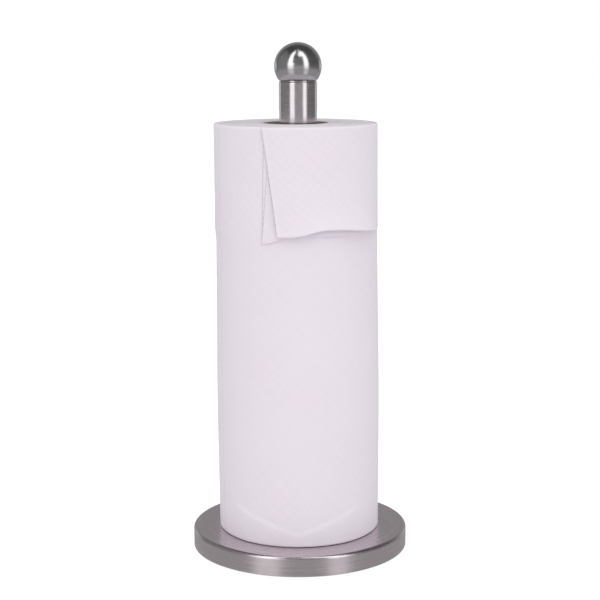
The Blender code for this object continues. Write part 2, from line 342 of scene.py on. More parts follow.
def grow(name, tree, keys, sharpDeg=40, **values):
    # runs a tree once and keeps its result as a plain mesh
    mesh = bpy.data.meshes.new(name)
    obj = bpy.data.objects.new(name, mesh)
    modifier = obj.modifiers.new(tree.name, "NODES")
    modifier.node_group = tree
    for label, value in values.items():
        modifier[keys[label.replace("_", " ")]] = value
    scene.collection.objects.link(obj)
    flatten(obj)
    obj.data.shade_smooth()
    obj.data.set_sharp_from_angle(angle=math.radians(sharpDeg))
    return obj


turnedGrain = makeTurnedGrain()
handling = makeHandling()
fibres = makeFibres()


def newMaterial(name, colour, roughness, metallic=0.0):
    material = bpy.data.materials.new(name)
    material.use_nodes = True
    tree = material.node_tree
    shader = tree.nodes["Principled BSDF"]
    plug(tree, shader, Base_Color=(*colour, 1.0), Roughness=roughness, Metallic=metallic)
    return material, tree, shader


def bump(tree, shader, height, strength, distance):
    node = addNode(tree, "ShaderNodeBump", Strength=strength, Distance=distance, Height=height)
    plug(tree, shader, Normal=node.outputs[0])


steel = {
    "base": {"colour": (0.68, 0.61, 0.642), "lines": 1500.0, "drift": 1.3, "rough": (0.19, 0.31)},
    "post": {"colour": (0.68, 0.63, 0.655), "lines": 2200.0, "drift": 1.0, "rough": (0.15, 0.24)},
    # the ball's colour is darker than the post's: painted shade on the same steel
    "ball": {"colour": (0.6, 0.584, 0.59), "lines": 1800.0, "drift": 1.2, "rough": (0.13, 0.22)},
    "shade": 0.86,
    "smear": 0.4,
    "relief": 0.12,
}


def steelMaterial(kind):
    given = steel[kind]
    colour, (low, high) = given["colour"], given["rough"]
    dull = tuple(c * steel["shade"] for c in colour)
    material, tree, shader = newMaterial(kind + "Steel", colour, low, 1.0)
    grain = useGroup(tree, turnedGrain, Lines=given["lines"], Drift=given["drift"])
    marks = useGroup(tree, handling, Size=26.0, Amount=steel["smear"])
    worn = calc(tree, "MULTIPLY_ADD", grain.outputs["Patches"], 0.35, grain.outputs["Lines"])
    rough = remap(tree, worn, 0.35, 0.95, low, high)
    rough = calc(tree, "MULTIPLY_ADD", marks.outputs["Smear"], 0.09, rough)
    plug(tree, shader, Roughness=rough)
    tone = remap(tree, grain.outputs["Lines"], 0.3, 0.7)
    plug(tree, shader, Base_Color=blendColours(tree, tone, dull, colour))
    bump(tree, shader, grain.outputs["Lines"], steel["relief"], 0.02 * mm)
    return material


def platedMaterial(name, colour, low, high):
    material, tree, shader = newMaterial(name, colour, low, 1.0)
    grain = useGroup(tree, turnedGrain, Lines=700.0, Drift=3.0)
    dull = tuple(c * 0.72 for c in colour)
    tone = blendColours(tree, remap(tree, grain.outputs["Patches"], 0.35, 0.7), dull, colour)
    plug(tree, shader, Base_Color=tone, Roughness=remap(tree, grain.outputs["Patches"], 0.3, 0.7, high, low))
    bump(tree, shader, grain.outputs["Lines"], 0.3, 0.03 * mm)
    return material


def ironMaterial():
    grey = (0.1, 0.1, 0.105)
    material, tree, shader = newMaterial("castIron", grey, 0.68, 0.6)
    place = objectPlace(tree)
    sand = noiseOf(tree, place, 900.0, 4.0, 0.7)
    pits = remap(tree, noiseOf(tree, place, 260.0, 2.0, 0.5), 0.6, 0.75)
    colour = blendColours(tree, pits, grey, (0.045, 0.035, 0.03))
    plug(tree, shader, Base_Color=colour, Roughness=remap(tree, sand, 0.3, 0.7, 0.55, 0.8))
    bump(tree, shader, calc(tree, "SUBTRACT", sand, pits), 0.6, 0.12 * mm)
    return material


def plasticMaterial(name, colour, roughness, grain=1400.0, depth=0.03):
    material, tree, shader = newMaterial(name, colour, roughness)
    spark = noiseOf(tree, objectPlace(tree), grain, 2.0, 0.6)
    marks = useGroup(tree, handling, Size=40.0, Amount=0.6)
    dusty = tuple(min(1.0, c * 1.9 + 0.02) for c in colour)
    plug(tree, shader, Base_Color=blendColours(tree, marks.outputs["Smear"], colour, dusty))
    rough = remap(tree, spark, 0.3, 0.7, roughness - 0.07, roughness + 0.07)
    plug(tree, shader, Roughness=rough)
    bump(tree, shader, spark, 0.5, depth * mm)
    return material


board = {
    "colour": (0.37, 0.33, 0.295),
    "dark": (0.27, 0.238, 0.212),
    "seam": (0.16, 0.115, 0.08),
    "fleck": (0.62, 0.53, 0.42),
    "pitch": 96 * mm,
    "seamDepth": 0.3 * mm,
    "seamWidth": 1.1 * mm,
}


def boardMaterial():
    material, tree, shader = newMaterial("coreBoard", board["colour"], 0.9)
    weave = useGroup(tree, fibres, Size=900.0, Stretch=2.5)
    tone = remap(tree, weave.outputs["Fibre"], 0.3, 0.7)
    colour = blendColours(tree, tone, board["dark"], board["colour"])
    seam = times(tree, attributeOf(tree, "seam"), 0.75)
    colour = blendColours(tree, seam, colour, board["seam"])
    flecks = times(tree, weave.outputs["Fleck"], 0.6)
    colour = blendColours(tree, flecks, colour, board["fleck"])
    plug(tree, shader, Base_Color=colour, Roughness=remap(tree, weave.outputs["Cloud"], 0.3, 0.7, 0.84, 0.95))
    bump(tree, shader, weave.outputs["Fibre"], 0.5, 0.08 * mm)
    return material


towel = {
    "white": (0.862, 0.792, 0.861),
    # a darker white: painted shade in the embossed hollows
    "hollow": (0.846, 0.775, 0.846),
    "tint": (0.847, 0.804, 0.873),
    # a dark grey: painted shade in the perforation slits
    "tear": (0.45, 0.45, 0.47),
    "cells": 28,
    "embossDepth": 0.12 * mm,
    "grooveWidth": 1.15 * mm,
    "dimpleWidth": 1.7 * mm,
    "sheetLength": 279 * mm,
    "slitPitch": 4.2 * mm,
    "dotsPerMetre": 720,
}


# the towel's surface: embossed hollows from the mesh, darkened as painted shade, fibres, tiny pressed dots
# and the tear lines, their slits darkened as painted shade
def towelMaterial():
    material, tree, shader = newMaterial("towelPaper", towel["white"], 0.92)
    weave = useGroup(tree, fibres, Size=1300.0, Stretch=1.0)
    # the relief attribute darkens the embossed hollows: painted shade
    colour = blendColours(tree, attributeOf(tree, "relief"), towel["white"], towel["hollow"])
    cloud = remap(tree, weave.outputs["Cloud"], 0.35, 0.65, 0.0, 0.5)
    colour = blendColours(tree, cloud, colour, towel["tint"])
    place = tree.nodes.new("ShaderNodeUVMap")
    place.uv_map = "surface"
    across, up, _ = splitXyz(tree, place.outputs[0])
    off = calc(tree, "PINGPONG", across, towel["sheetLength"] / 2)
    line = remap(tree, off, 0.0, 0.5 * mm, 1.0, 0.0)
    slit = remap(tree, calc(tree, "PINGPONG", up, towel["slitPitch"] / 2), 0.4 * mm, 0.75 * mm)
    tear = times(tree, line, slit)
    # the slits of the tear lines are darkened: painted shade
    colour = blendColours(tree, times(tree, tear, 0.5), colour, towel["tear"])
    plug(tree, shader, Base_Color=colour)
    size = (towel["dotsPerMetre"], towel["dotsPerMetre"], 1)
    spots = addNode(tree, "ShaderNodeMapping", Vector=place.outputs[0], Scale=size).outputs[0]
    dots = addNode(tree, "ShaderNodeTexVoronoi", Vector=spots, Scale=1.0, Randomness=0.15)
    pressed = remap(tree, dots.outputs["Distance"], 0.1, 0.42)
    height = calc(tree, "MULTIPLY_ADD", pressed, 0.55, weave.outputs["Fibre"])
    height = calc(tree, "SUBTRACT", height, times(tree, tear, 3.0))
    plug(tree, shader, Roughness=remap(tree, weave.outputs["Fibre"], 0.3, 0.7, 0.88, 0.97))
    bump(tree, shader, height, 0.35, 0.1 * mm)
    return material


# cut edges of the wound layers
def edgeMaterial():
    material, tree, shader = newMaterial("towelEdges", (0.82, 0.785, 0.825), 0.95)
    weave = useGroup(tree, fibres, Size=2200.0, Stretch=1.0)
    tone = remap(tree, weave.outputs["Fibre"], 0.3, 0.7)
    colour = blendColours(tree, tone, (0.74, 0.7, 0.745), (0.86, 0.82, 0.865))
    plug(tree, shader, Base_Color=colour)
    bump(tree, shader, weave.outputs["Fibre"], 0.6, 0.1 * mm)
    return material


baseSteel, postSteel, ballSteel = (steelMaterial(kind) for kind in ("base", "post", "ball"))
zinc = platedMaterial("zincPlate", (0.6, 0.61, 0.63), 0.28, 0.45)
castIron = ironMaterial()
blackPlastic = plasticMaterial("blackPlastic", (0.022, 0.022, 0.024), 0.5)
greyRubber = plasticMaterial("greyRubber", (0.055, 0.055, 0.058), 0.82, 900.0, 0.08)
coreBoard = boardMaterial()
towelPaper = towelMaterial()
towelEdges = edgeMaterial()
print("materials made")


studio = {
    "distance": 1.038,
    "height": 0.3538,
    "pitchDeg": 9.9,
    "rollDeg": -0.25,
    "shift": 0.0018,
    "lens": 92.2,
    "keyAzimuth": 11,
    "keyElevation": 58,
    "keyDistance": 1.6,
    "keySize": 0.9,
    "keyPower": 4.6,
    "floorRadius": 6.0,
}


def makeCamera():
    data = bpy.data.cameras.new("camera")
    data.lens = studio["lens"]
    data.sensor_width = 36
    camera = bpy.data.objects.new("camera", data)
    camera.location = (0.0, -studio["distance"], studio["height"])
    camera.rotation_euler = (math.radians(90 - studio["pitchDeg"]), 0, 0)
    camera.rotation_euler.rotate_axis("Z", math.radians(studio["rollDeg"]))
    data.shift_x = studio["shift"]
    scene.collection.objects.link(camera)
    scene.camera = camera


# a share of light between two azimuths and two heights (z of the direction), with soft sides
def softWindow(tree, azimuth, rise, azLow, azHigh, zLow, zHigh, azSoft=3.0, zSoft=0.06):
    left = remap(tree, azimuth, azLow - azSoft, azLow + azSoft)
    right = remap(tree, azimuth, azHigh - azSoft, azHigh + azSoft, 1.0, 0.0)
    below = remap(tree, rise, zLow - zSoft, zLow + zSoft)
    above = remap(tree, rise, zHigh - zSoft, zHigh + zSoft, 1.0, 0.0)
    wide, tall = times(tree, left, right), times(tree, below, above)
    return times(tree, wide, tall)


# what polished metal sees: tall soft boxes left and right, a mid grey room, pale behind
reflections = [
    # azimuth from, to, height from, to, brightness, soft sides in degrees
    (-50, -21, -0.16, 0.06, 1.35, 2.5),
    (-50, -21, 0.06, 0.3, 1.9, 2.5),
    (-49, -27, 0.3, 0.97, 2.1, 2.5),
    (-50, -21, -0.6, -0.16, 0.42, 3.0),
    (30, 53, -0.16, 0.06, 1.38, 2.5),
    (30, 53, 0.06, 0.97, 1.9, 2.5),
    (30, 53, -0.6, -0.16, 0.42, 3.0),
    (3, 30, 0.74, 0.97, 1.7, 4.0),
    (-118, -54, -0.14, 0.8, 0.14, 6.0),
    (-17, 27, -0.2, 0.1, 0.26, 3.0),
    (-17, 27, 0.1, 0.7, 0.1, 3.0),
    (56, 120, -0.2, 0.1, 0.06, 6.0),
]
room = {"plain": 0.12, "above": 0.08, "behind": 0.22, "floor": 0.285}
# two more boxes at the back, one each side: azimuth from, to, height from, to, and their brightness
backBoxes, backLevel = (128, 150, -0.12, 0.12), 0.4
# what dull surfaces see: the middle, and what is added towards the front, the left and above
dome = {"middle": 0.75, "front": 0.22, "left": 0.02, "above": 0.06}


def makeWorld():
    world = bpy.data.worlds.new("studio")
    scene.world = world
    world.use_nodes = True
    tree = world.node_tree
    tree.nodes.clear()
    x, y, z = splitXyz(tree, tree.nodes.new("ShaderNodeTexCoord").outputs["Generated"])
    forward = times(tree, y, -1.0)
    azimuth = calc(tree, "DEGREES", calc(tree, "ARCTAN2", x, forward))
    behind = times(tree, remap(tree, y, 0.4, 0.85), room["behind"])
    floor = remap(tree, z, -0.05, -0.28, 0.0, room["floor"])
    plain = remap(tree, z, 0.45, 0.75, room["plain"], room["above"])
    glow = calc(tree, "ADD", calc(tree, "MAXIMUM", behind, floor), plain)
    for azLow, azHigh, zLow, zHigh, level, soft in reflections:
        share = softWindow(tree, azimuth, z, azLow, azHigh, zLow, zHigh, soft)
        glow = calc(tree, "MULTIPLY_ADD", share, level, glow)
    share = softWindow(tree, calc(tree, "ABSOLUTE", azimuth), z, *backBoxes)
    glow = calc(tree, "MULTIPLY_ADD", share, backLevel, glow)

    soft = calc(tree, "MULTIPLY_ADD", y, -dome["front"], dome["middle"])
    soft = calc(tree, "MULTIPLY_ADD", x, -dome["left"], soft)
    soft = calc(tree, "MULTIPLY_ADD", z, dome["above"], soft)
    path = tree.nodes.new("ShaderNodeLightPath")
    first = calc(tree, "LESS_THAN", path.outputs["Diffuse Depth"], 0.5)
    mirrored = times(tree, path.outputs["Is Glossy Ray"], first)
    level = times(tree, glow, mirrored)
    level = calc(tree, "MULTIPLY_ADD", soft, calc(tree, "SUBTRACT", 1.0, mirrored), level)
    seen = path.outputs["Is Camera Ray"]
    level = calc(tree, "MULTIPLY_ADD", level, calc(tree, "SUBTRACT", 1.0, seen), seen)
    back = addNode(tree, "ShaderNodeBackground", Color=(1, 1, 1, 1), Strength=level)
    addNode(tree, "ShaderNodeOutputWorld", Surface=back.outputs[0])


def makeLight():
    data = bpy.data.lights.new("key", "AREA")
    data.size = studio["keySize"]
    data.energy = studio["keyPower"]
    light = bpy.data.objects.new("key", data)
    rise = math.radians(studio["keyElevation"])
    middle = Vector((0, 0, (cadLow.z + cadHigh.z) / 2))
    out = Vector(around(0.0, math.cos(rise), studio["keyAzimuth"], math.sin(rise)))
    light.location = middle + out * studio["keyDistance"]
    light.rotation_euler = (-out).to_track_quat("-Z", "Y").to_euler()
    light.visible_glossy = False
    scene.collection.objects.link(light)


def makeFloor():
    material, tree, shader = newMaterial("paleFloor", (0.8, 0.8, 0.8), 0.9)
    tree.nodes.remove(shader)
    seen = tree.nodes.new("ShaderNodeLightPath").outputs["Is Camera Ray"]
    diffuse = addNode(tree, "ShaderNodeBsdfDiffuse", Color=(0.9, 0.9, 0.91, 1))
    glow = addNode(tree, "ShaderNodeEmission", Strength=times(tree, seen, 0.5))
    add = tree.nodes.new("ShaderNodeAddShader")
    tree.links.new(diffuse.outputs[0], add.inputs[0])
    tree.links.new(glow.outputs[0], add.inputs[1])
    tree.links.new(add.outputs[0], tree.nodes["Material Output"].inputs[0])
    corners = [around(0.0, studio["floorRadius"], 360 * i / 64, cadLow.z) for i in range(64)]
    mesh = bpy.data.meshes.new("floor")
    mesh.from_pydata(corners, [], [list(range(64))])
    mesh.materials.append(material)
    floor = bpy.data.objects.new("floor", mesh)
    floor.visible_glossy = False
    scene.collection.objects.link(floor)


makeCamera()
makeWorld()
makeLight()
makeFloor()
scene.view_settings.view_transform = "Standard"
print("camera, light and floor placed")


base = {"wall": 0.8 * mm, "edge": 2.2 * mm, "foot": 0.4 * mm, "lip": 2.6 * mm, "hole": 3.6 * mm, "sides": 192}


def makeBase():
    radius, low, high, _ = span("base_cover")
    wall, lip = base["wall"], radius - base["lip"]
    corners = [
        (base["hole"], high, 0.2 * mm),
        (radius, high, base["edge"]),
        (radius, low, base["foot"]),
        (lip, low, 0.3 * mm),
        (lip, low + wall, 0.3 * mm),
        (radius - wall, low + wall, 0.1 * mm),
        (radius - wall, high - wall, base["edge"] - wall / 2),
        (base["hole"], high - wall, 0.2 * mm),
    ]
    piece = turned("base_cover_steel", rounded(corners), baseSteel, base["sides"])
    give(piece, "stand", "brushed_steel", "base_cover")


post = {"wall": 1.0 * mm, "edge": 0.35 * mm, "sides": 96}


def makePost():
    radius, low, high, _ = span("post_tube")
    profile = rounded(ringCorners(radius - post["wall"], radius, low, high, post["edge"]))
    piece = turned("post_tube_steel", profile, postSteel, post["sides"])
    give(piece, "stand", "brushed_steel", "post_tube")


ball = {
    "wall": 0.9 * mm,
    "flatRadius": 12.85 * mm,
    "hole": 6.3 * mm,
    "sides": 128,
    "steps": 56,
    "innerSteps": 24,
    "bevelAngle": 0.012,
}


def makeBall():
    radius, low, high, _ = span("ball_shell")
    centre = high - radius
    cut = math.asin((low - centre) / radius)
    profile = [(ball["hole"], low), (ball["flatRadius"], low)]
    # the shell starts a little above the flat, which leaves a small bevel
    for i in range(ball["steps"] + 1):
        a = mix(cut + ball["bevelAngle"], math.pi / 2, i / ball["steps"])
        profile.append((radius * math.cos(a), centre + radius * math.sin(a)))
    inner = radius - ball["wall"]
    floorTop = low + ball["wall"]
    innerCut = math.asin((floorTop - centre) / inner)
    for i in range(ball["innerSteps"] + 1):
        a = mix(math.pi / 2, innerCut, i / ball["innerSteps"])
        profile.append((inner * math.cos(a), centre + inner * math.sin(a)))
    profile.append((ball["hole"], floorTop))
    piece = turned("ball_shell_steel", profile, ballSteel, ball["sides"])
    give(piece, "stand", "brushed_steel", "ball_shell")


makeBase()
makePost()
makeBall()
print("steel pieces turned")


fastening = {
    "bore": 3.3 * mm,
    "clear": 3.6 * mm,
    "thread": {"pitch": 1.0 * mm, "depth": 0.55 * mm, "sides": 36, "steps": 8},
    "boltFlats": 4.0 * mm,
    "boltSocket": 1.9 * mm,
    "boltShank": 3.0 * mm,
    "boltPlain": 10 * mm,
    "headFace": 4.75 * mm,
    "knurlDepth": 0.14 * mm,
    "knurlRows": 12,
    "washerSlitDeg": 14,
    "bossRadius": 6.0 * mm,
    "bossFlange": (1.2 * mm, 2.4 * mm, 9.5 * mm),
    "bossWall": 2.0 * mm,
}


# a thread as rings of rising height, each with its radius following the helix
def threadRings(radius, low, high):
    given = fastening["thread"]
    pitch, sides = given["pitch"], given["sides"]
    count = round((high - low) / pitch * given["steps"])
    rings = []
    for i in range(count + 1):
        z = mix(low, high, i / count)
        end = smooth(0, pitch, min(z - low, high - z))
        ring = []
        for j in range(sides):
            turn = (z / pitch - j / sides) % 1.0
            cut = min(1.0, abs(turn - 0.5) * 2.5) * given["depth"] * mix(0.35, 1.0, end)
            ring.append(around(0, radius - cut, 360 * j / sides, z))
        rings.append(ring)
    return rings


def plainRing(radius, z, flats=None):
    sides = fastening["thread"]["sides"]
    ring = []
    for j in range(sides):
        deg = 360 * j / sides
        reach = flats / 2 / math.cos(math.radians((deg + 30) % 60 - 30)) if flats else radius
        ring.append(around(0, reach, deg, z))
    return ring


def ringUv(rows):
    sides = len(rows[0])
    return lambda i, j: (j / sides * 18 * mm, rows[i % len(rows)][j % sides][2])


def makeBolt():
    headRadius, headLow, shankTop, _ = span("base_bolt")
    headTop = span("lock_washer")[1] - 0.3 * mm
    flats, shank = fastening["boltFlats"], fastening["boltShank"]
    floor = headLow + fastening["boltSocket"]
    sides, last = fastening["thread"]["sides"], fastening["knurlRows"]
    rows = [plainRing(0, floor - 0.25 * mm), plainRing(0, floor, flats)]
    rows += [plainRing(0, headLow + 0.2 * mm, flats), plainRing(flats * 0.62, headLow)]
    rows += [plainRing(fastening["headFace"], headLow), plainRing(headRadius, headLow + 0.5 * mm)]
    for i in range(last + 1):
        z = mix(headLow + 0.6 * mm, headTop - 0.3 * mm, i / last)
        knurled = []
        for j in range(sides):
            notch = fastening["knurlDepth"] if (i + j) % 2 and 0 < i < last else 0.0
            knurled.append(around(0, headRadius - notch, 360 * j / sides, z))
        rows.append(knurled)
    rows += [plainRing(headRadius - 0.25 * mm, headTop), plainRing(shank + 0.35 * mm, headTop)]
    plain = headTop + fastening["boltPlain"]
    rows += [plainRing(shank, headTop + 0.35 * mm), plainRing(shank, plain - 0.4 * mm)]
    rows += threadRings(shank, plain, shankTop - 0.7 * mm)
    rows += [plainRing(shank * 0.7, shankTop), plainRing(0, shankTop)]
    mesh = gridMesh("base_bolt_threaded", rows, uv=ringUv(rows))
    give(placeMesh("base_bolt_threaded", mesh, zinc, 30), "stand", "zinc_plated_steel", "base_bolt")


def makeStud():
    radius, low, high, _ = span("finial_stud")
    rows = [plainRing(0, low), plainRing(radius * 0.7, low)]
    rows += threadRings(radius, low + 0.6 * mm, high - 0.6 * mm)
    rows += [plainRing(radius * 0.7, high), plainRing(0, high)]
    mesh = gridMesh("finial_stud_threaded", rows, uv=ringUv(rows))
    give(placeMesh("finial_stud_threaded", mesh, zinc, 30), "stand", "zinc_plated_steel", "finial_stud")


def makeLockWasher():
    radius, low, high, _ = span("lock_washer")
    section = rounded(ringCorners(fastening["bore"], radius, low, high, 0.25 * mm))
    half, steps = fastening["washerSlitDeg"] / 2, 60
    rows = []
    for i in range(steps + 1):
        deg = mix(half, 360 - half, i / steps)
        rows.append([around(0, r, deg, z) for r, z in section])
    mesh = gridMesh("lock_washer_split", rows, uv=lambda i, j: (i * 0.5 * mm, j * 0.4 * mm), caps=True)
    give(placeMesh("lock_washer_split", mesh, zinc, 30), "stand", "zinc_plated_steel", "lock_washer")


def makeRings():
    bore, clear = fastening["bore"], fastening["clear"]
    rings = [
        # node, inner radius, material, slot, edge radius
        ("post_gasket", clear, greyRubber, "grey_rubber", 0.3 * mm),
        ("plain_washer", bore, zinc, "zinc_plated_steel", 0.2 * mm),
        ("neck_washer", bore, postSteel, "brushed_steel", 0.12 * mm),
        ("lower_plug", bore, zinc, "zinc_plated_steel", 0.8 * mm),
        ("upper_plug", bore, zinc, "zinc_plated_steel", 0.8 * mm),
    ]
    for node, inner, material, slot, edge in rings:
        radius, low, high, _ = span(node)
        profile = rounded(ringCorners(inner, radius, low, high, edge))
        give(turned(node + "_fine", profile, material, 96), "stand", slot, node)


def makeBoss():
    _, low, high, _ = span("ball_boss")
    flangeLow, flangeHigh, flange = fastening["bossFlange"]
    bore, radius, edge = fastening["bore"], fastening["bossRadius"], 0.25 * mm
    corners = [
        (0.0, high - fastening["bossWall"], 0),
        (bore, high - fastening["bossWall"], edge),
        (bore, low, 0.4 * mm),
        (radius, low, edge),
        (radius, low + flangeLow, edge),
        (flange, low + flangeLow, edge),
        (flange, low + flangeHigh, edge),
        (radius, low + flangeHigh, 0.5 * mm),
        (radius, high, 0.5 * mm),
        (0.0, high, 0),
    ]
    piece = turned("ball_boss_fine", rounded(corners, closed=False), zinc, 72, closed=False)
    give(piece, "stand", "zinc_plated_steel", "ball_boss")


makeBolt()
makeStud()
makeLockWasher()
makeRings()
makeBoss()
print("fastenings made")


underside = {
    "plateHole": 10.5 * mm,
    "padRecess": (16.0 * mm, 68.0 * mm, 0.9 * mm),
    "plateStep": (71.2 * mm, 0.7 * mm),
    "sides": 160,
    "padHole": 16.3 * mm,
    "padRibs": 5,
    "ribWidth": 1.6 * mm,
    "grooveDepth": 0.5 * mm,
    "dotRadius": 1.1 * mm,
    "dotSpacing": 5.2 * mm,
    "weightBore": 3.6 * mm,
    "weightPocket": (11.0 * mm, 6.2 * mm),
    "weightRings": 3,
}


def makePlate():
    radius, low, high, _ = span("base_plate")
    hole = underside["plateHole"]
    recessIn, recessOut, deep = underside["padRecess"]
    stepRadius, step = underside["plateStep"]
    edge = 0.25 * mm
    corners = [
        (hole, low, edge),
        (recessIn, low, edge),
        (recessIn, low + deep, edge),
        (recessOut, low + deep, edge),
        (recessOut, low, edge),
        (stepRadius, low, edge),
        (stepRadius, low + step, edge),
        (radius, low + step, edge),
        (radius, high, edge),
        (hole, high, edge),
    ]
    piece = turned("base_plate_fine", rounded(corners), blackPlastic, underside["sides"])
    give(piece, "stand", "black_plastic", "base_plate")


# rings of small domes facing down, with an even spacing along each ring
def makeDotTree():
    inputs = {
        "Inner Radius": 0.018,
        "Ring Step": 0.012,
        "Rings": 8,
        "Spacing": 0.005,
        "Dot Radius": 0.001,
        "Level": 0.0005,
        "Material": None,
    }
    tree, given, made, keys = startTree("domeRings", inputs)
    line = addNode(tree, "GeometryNodeMeshLine", Count=given["Rings"], Offset=(0, 0, 0))
    # two rings to a groove, at 0.29 and 0.57 of the step from rib to rib
    index = tree.nodes.new("GeometryNodeInputIndex").outputs[0]
    pair = calc(tree, "FLOOR", times(tree, index, 0.5))
    part = calc(tree, "MULTIPLY_ADD", calc(tree, "MODULO", index, 2.0), 0.28, 0.29)
    steps = calc(tree, "ADD", pair, part)
    reach = calc(tree, "MULTIPLY_ADD", steps, given["Ring Step"], given["Inner Radius"])
    circle = addNode(tree, "GeometryNodeCurvePrimitiveCircle", Resolution=128, Radius=1.0)
    size = joinXyz(tree, reach, reach, 1.0)
    rings = addNode(
        tree, "GeometryNodeInstanceOnPoints", Points=line.outputs[0], Instance=circle.outputs[0], Scale=size
    )
    real = addNode(tree, "GeometryNodeRealizeInstances", Geometry=rings.outputs[0])
    spread = addNode(tree, "GeometryNodeResampleCurve", Curve=real.outputs[0])
    spread.mode = "LENGTH"
    plug(tree, spread, Length=given["Spacing"])
    dome = addNode(tree, "GeometryNodeMeshUVSphere", Segments=10, Rings=6, Radius=given["Dot Radius"])
    squash = addNode(tree, "GeometryNodeTransform", Geometry=dome.outputs[0], Scale=(1, 1, 0.4))
    level = joinXyz(tree, z=given["Level"])
    shift = addNode(tree, "GeometryNodeSetPosition", Geometry=spread.outputs[0], Offset=level)
    dots = addNode(
        tree, "GeometryNodeInstanceOnPoints", Points=shift.outputs[0], Instance=squash.outputs[0]
    )
    endTree(tree, given, made, dots.outputs[0])
    return tree, keys


# the pad stands on ribs and on rows of small domes between them
def makePad():
    radius, low, high, _ = span("grip_pad")
    hole, ribs, width = underside["padHole"], underside["padRibs"], underside["ribWidth"]
    groove, edge = underside["grooveDepth"], 0.2 * mm
    corners = []
    for i in range(ribs):
        start = mix(hole, radius - width, i / (ribs - 1))
        corners += [(start, low, edge), (start + width, low, edge)]
        if i < ribs - 1:
            nextStart = mix(hole, radius - width, (i + 1) / (ribs - 1))
            corners += [(start + width, low + groove, edge), (nextStart, low + groove, edge)]
    corners += [(radius, high, 0.4 * mm), (hole, high, 0.4 * mm)]
    piece = turned("grip_pad_fine", rounded(corners), greyRubber, underside["sides"])
    tree, keys = makeDotTree()
    dots = grow(
        "grip_pad_dots",
        tree,
        keys,
        sharpDeg=60,
        Inner_Radius=hole + width,
        Ring_Step=(radius - width - hole) / (ribs - 1),
        Rings=(ribs - 1) * 2,
        Spacing=underside["dotSpacing"],
        Dot_Radius=underside["dotRadius"],
        Level=low + groove,
        Material=greyRubber,
    )
    give(dots, "stand", "grey_rubber")
    give(piece, "stand", "grey_rubber", "grip_pad")


def makeWeight():
    radius, low, high, _ = span("base_weight")
    bore, edge = underside["weightBore"], 1.2 * mm
    pocket, deep = underside["weightPocket"]
    corners = [(bore, low + deep, 0.3 * mm), (pocket, low + deep, 0.6 * mm), (pocket, low, 0.8 * mm)]
    corners += [(radius, low, edge), (radius, high, edge)]
    for i in range(underside["weightRings"]):
        at = radius * (0.82 - 0.26 * i)
        corners += [(at, high, 0.3 * mm), (at - 0.5 * mm, high - 0.35 * mm, 0.2 * mm)]
        corners += [(at - 1 * mm, high, 0.3 * mm)]
    corners += [(bore, high, 0.3 * mm)]
    piece = turned("base_weight_cast", rounded(corners), castIron, underside["sides"])
    give(piece, "stand", "cast_iron", "base_weight")


makePlate()
makePad()
makeWeight()
print("underside made")


coreSize = {"wall": 1.5 * mm, "sides": 144, "rows": 130, "plies": 3}


# the core: board wound in a helix, with the strip's edge as a shallow seam inside
def makeCore():
    outer, low, high, centreX = span("core_tube")
    inner = outer - coreSize["wall"]
    sides, rowCount = coreSize["sides"], coreSize["rows"]
    rows, seams = [], []

    def seamShare(deg, z):
        lead = ((z / board["pitch"] - deg / 360) % 1.0 - 0.5) * board["pitch"]
        return math.exp(-((lead / board["seamWidth"]) ** 2) / 2)

    def addRow(radii, z, shares):
        rows.append([around(centreX, radii[j], 360 * j / sides, z) for j in range(sides)])
        seams.extend(shares)

    for i in range(rowCount + 1):
        z = mix(high - 0.3 * mm, low + 0.3 * mm, i / rowCount)
        shares = [seamShare(360 * j / sides, z) for j in range(sides)]
        addRow([inner + board["seamDepth"] * share for share in shares], z, shares)
    # each ply's cut end stands a little proud of the dark joints beside it
    plies, gap, drop = coreSize["plies"], 0.04 * mm, 0.12 * mm
    for end, way in ((low, 1), (high, -1)):
        rim = []
        for ply in range(plies):
            start = inner + coreSize["wall"] * ply / plies
            stop = inner + coreSize["wall"] * (ply + 1) / plies
            rim += [(start + gap, drop, 1.0), (mix(start, stop, 0.3), 0.0, 0.0)]
            rim += [(mix(start, stop, 0.7), 0.0, 0.0), (stop - gap, drop, 1.0)]
        for radius, lower, dark in rim if way > 0 else reversed(rim):
            addRow([radius] * sides, end + way * lower, [dark] * sides)
    mesh = gridMesh("core_board", rows, loop=True)
    markPoints(mesh, "seam", seams)
    give(placeMesh("core_board", mesh, coreBoard, 60), "roll", "core_board", "core_tube")


makeCore()
print("core wound")


